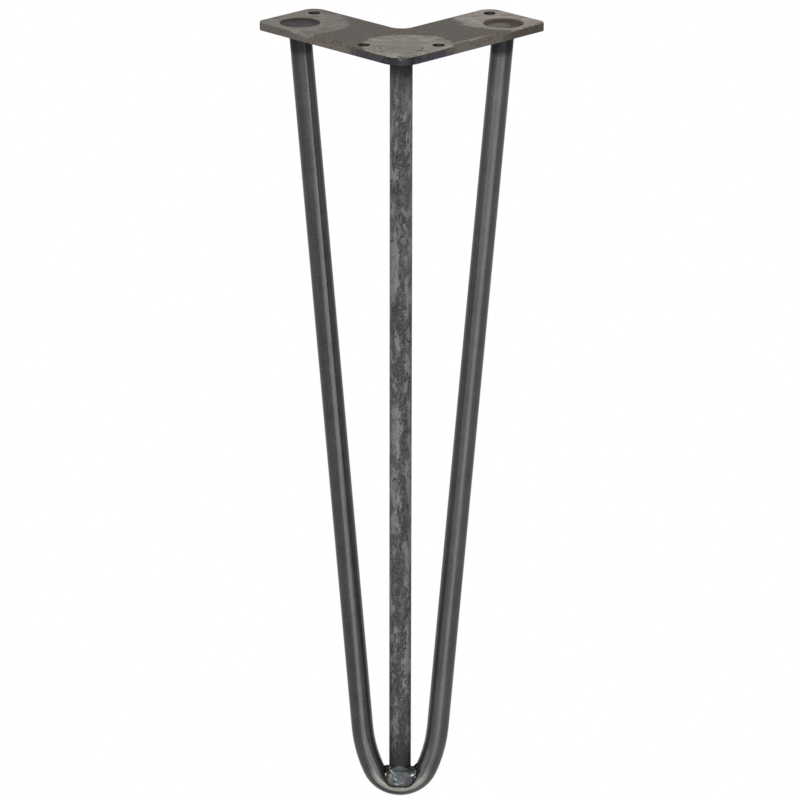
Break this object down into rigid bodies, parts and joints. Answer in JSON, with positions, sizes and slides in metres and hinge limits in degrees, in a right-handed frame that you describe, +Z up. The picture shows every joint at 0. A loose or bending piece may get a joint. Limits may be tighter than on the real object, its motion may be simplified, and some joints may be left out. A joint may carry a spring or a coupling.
{
  "type": "hairpin table leg",
  "caption": "Raw steel hairpin table leg: a bent rod and a straight middle rod welded at the foot, under an L-shaped screw plate.",
  "frame": {"origin": "on the plate's top face, half way between the two screw holes beside the corner rod", "axes": "+Z is up, out of the mounting face; X = 0 is the plane of symmetry; the plate's corner points to -Y"},
  "size_m": [0.1262, 0.0821, 0.3556],
  "materials": {
    "plate_steel": "hot-rolled plate, ground in patches",
    "rod_steel": "hot-rolled round bar with mill scale",
    "weld_metal": "bare weld metal"
  },
  "bodies": {
    "root": {"top_plate": "plate_steel", "hairpin_rod": "rod_steel", "middle_rod": "rod_steel", "foot_weld": "weld_metal", "corner_plug_weld": "weld_metal", "left_tip_weld": "weld_metal", "right_tip_weld": "weld_metal"}
  },
  "joints": []
}
